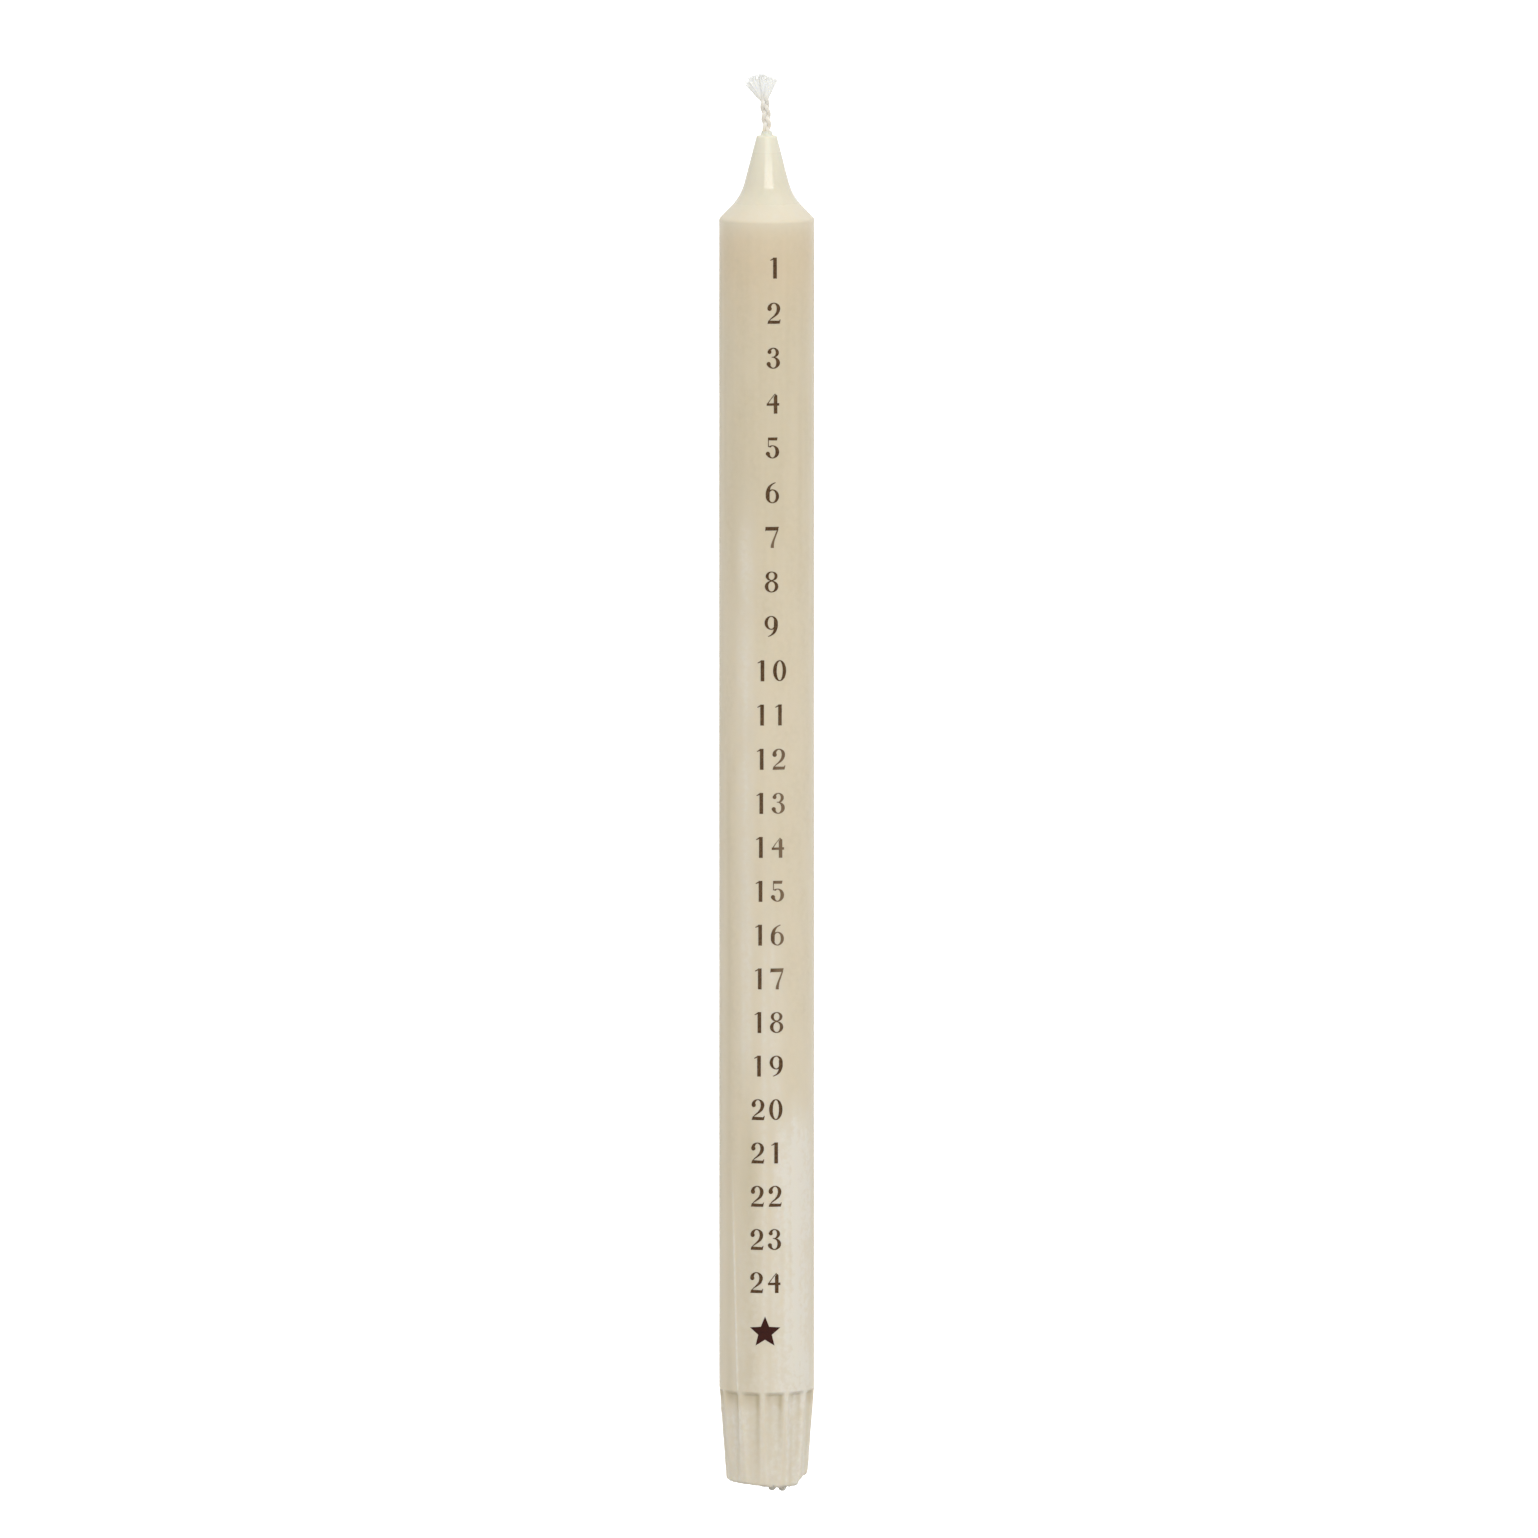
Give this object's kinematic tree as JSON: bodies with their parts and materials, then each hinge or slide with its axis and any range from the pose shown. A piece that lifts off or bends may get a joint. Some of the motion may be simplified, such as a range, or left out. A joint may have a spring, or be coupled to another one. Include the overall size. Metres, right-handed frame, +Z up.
{
  "type": "calendar candle",
  "caption": "Slender taper candle with a fluted self-wedging foot, a drawn-in neck and a plaited wick, whose front carries a scale of days to burn down.",
  "frame": {"origin": "on the candle's axis, at the flat of the foot's lower face", "axes": "+Z up the candle's axis towards the wick; the front that carries the day scale faces -Y"},
  "size_m": [0.02, 0.02, 0.2974],
  "materials": {
    "wax": "poured wax, dull satin, slightly translucent",
    "waxed_wick": "cotton soaked in wax",
    "wick_cotton": "bleached plaited cotton",
    "print_ink": "thin matt brown ink film on the wax"
  },
  "bodies": {
    "root": {"wax_body": "wax", "wick_core": "waxed_wick", "wick_strand_left": "wick_cotton", "wick_strand_middle": "wick_cotton", "wick_strand_right": "wick_cotton", "wick_threads_left": "wick_cotton", "wick_threads_middle": "wick_cotton", "wick_threads_right": "wick_cotton"}
  },
  "joints": []
}
